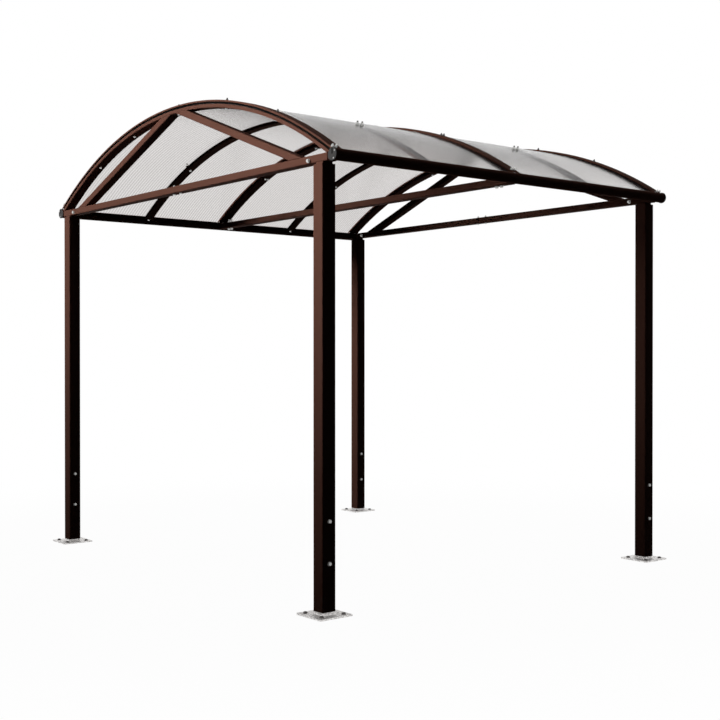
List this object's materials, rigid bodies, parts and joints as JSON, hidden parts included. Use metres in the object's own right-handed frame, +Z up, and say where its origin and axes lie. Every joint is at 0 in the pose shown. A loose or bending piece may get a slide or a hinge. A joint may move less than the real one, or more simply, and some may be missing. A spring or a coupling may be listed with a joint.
{
  "type": "bike shelter",
  "caption": "Open bike shelter: square posts on bolted base plates carry a tied-arch steel frame and a vaulted roof of translucent twin-wall sheet.",
  "frame": {"origin": "middle of the footprint, on the floor under the base plates", "axes": "+X across the span between the eaves, +Y from the front gable to the back gable, +Z up"},
  "size_m": [3.149, 2.7, 2.7318],
  "materials": {
    "brown_steel": "chocolate brown powder coat, fine satin texture",
    "galvanised_steel": "hot-dip galvanised, grey with soft mottling",
    "grey_plastic": "plain grey moulded plastic",
    "twin_wall_sheet": "translucent opal twin-wall polycarbonate, fine flutes along the curve"
  },
  "bodies": {
    "root": {"base_plate_front_left": "galvanised_steel", "post_front_left": "brown_steel", "head_pad_front_left": "brown_steel", "brace_front_left": "brown_steel", "eaves_cap_front_left": "grey_plastic", "base_plate_front_right": "galvanised_steel", "post_front_right": "brown_steel", "head_pad_front_right": "brown_steel", "brace_front_right": "brown_steel", "eaves_cap_front_right": "grey_plastic", "base_plate_back_left": "galvanised_steel", "post_back_left": "brown_steel", "head_pad_back_left": "brown_steel", "brace_back_left": "brown_steel", "eaves_cap_back_left": "grey_plastic", "base_plate_back_right": "galvanised_steel", "post_back_right": "brown_steel", "head_pad_back_right": "brown_steel", "brace_back_right": "brown_steel", "eaves_cap_back_right": "grey_plastic", "arch_front": "brown_steel", "cover_strip_front": "brown_steel", "arch_middle": "brown_steel", "cover_strip_middle": "brown_steel", "arch_back": "brown_steel", "cover_strip_back": "brown_steel", "tie_middle": "brown_steel", "tie_front_left": "brown_steel", "tie_front_right": "brown_steel", "tie_splice_front": "galvanised_steel", "rib_front": "brown_steel", "roof_sheet_front": "twin_wall_sheet", "tie_back_left": "brown_steel", "tie_back_right": "brown_steel", "tie_splice_back": "galvanised_steel", "rib_back": "brown_steel", "roof_sheet_back": "twin_wall_sheet", "eaves_tube_left": "brown_steel", "eaves_tube_right": "brown_steel"}
  },
  "joints": []
}
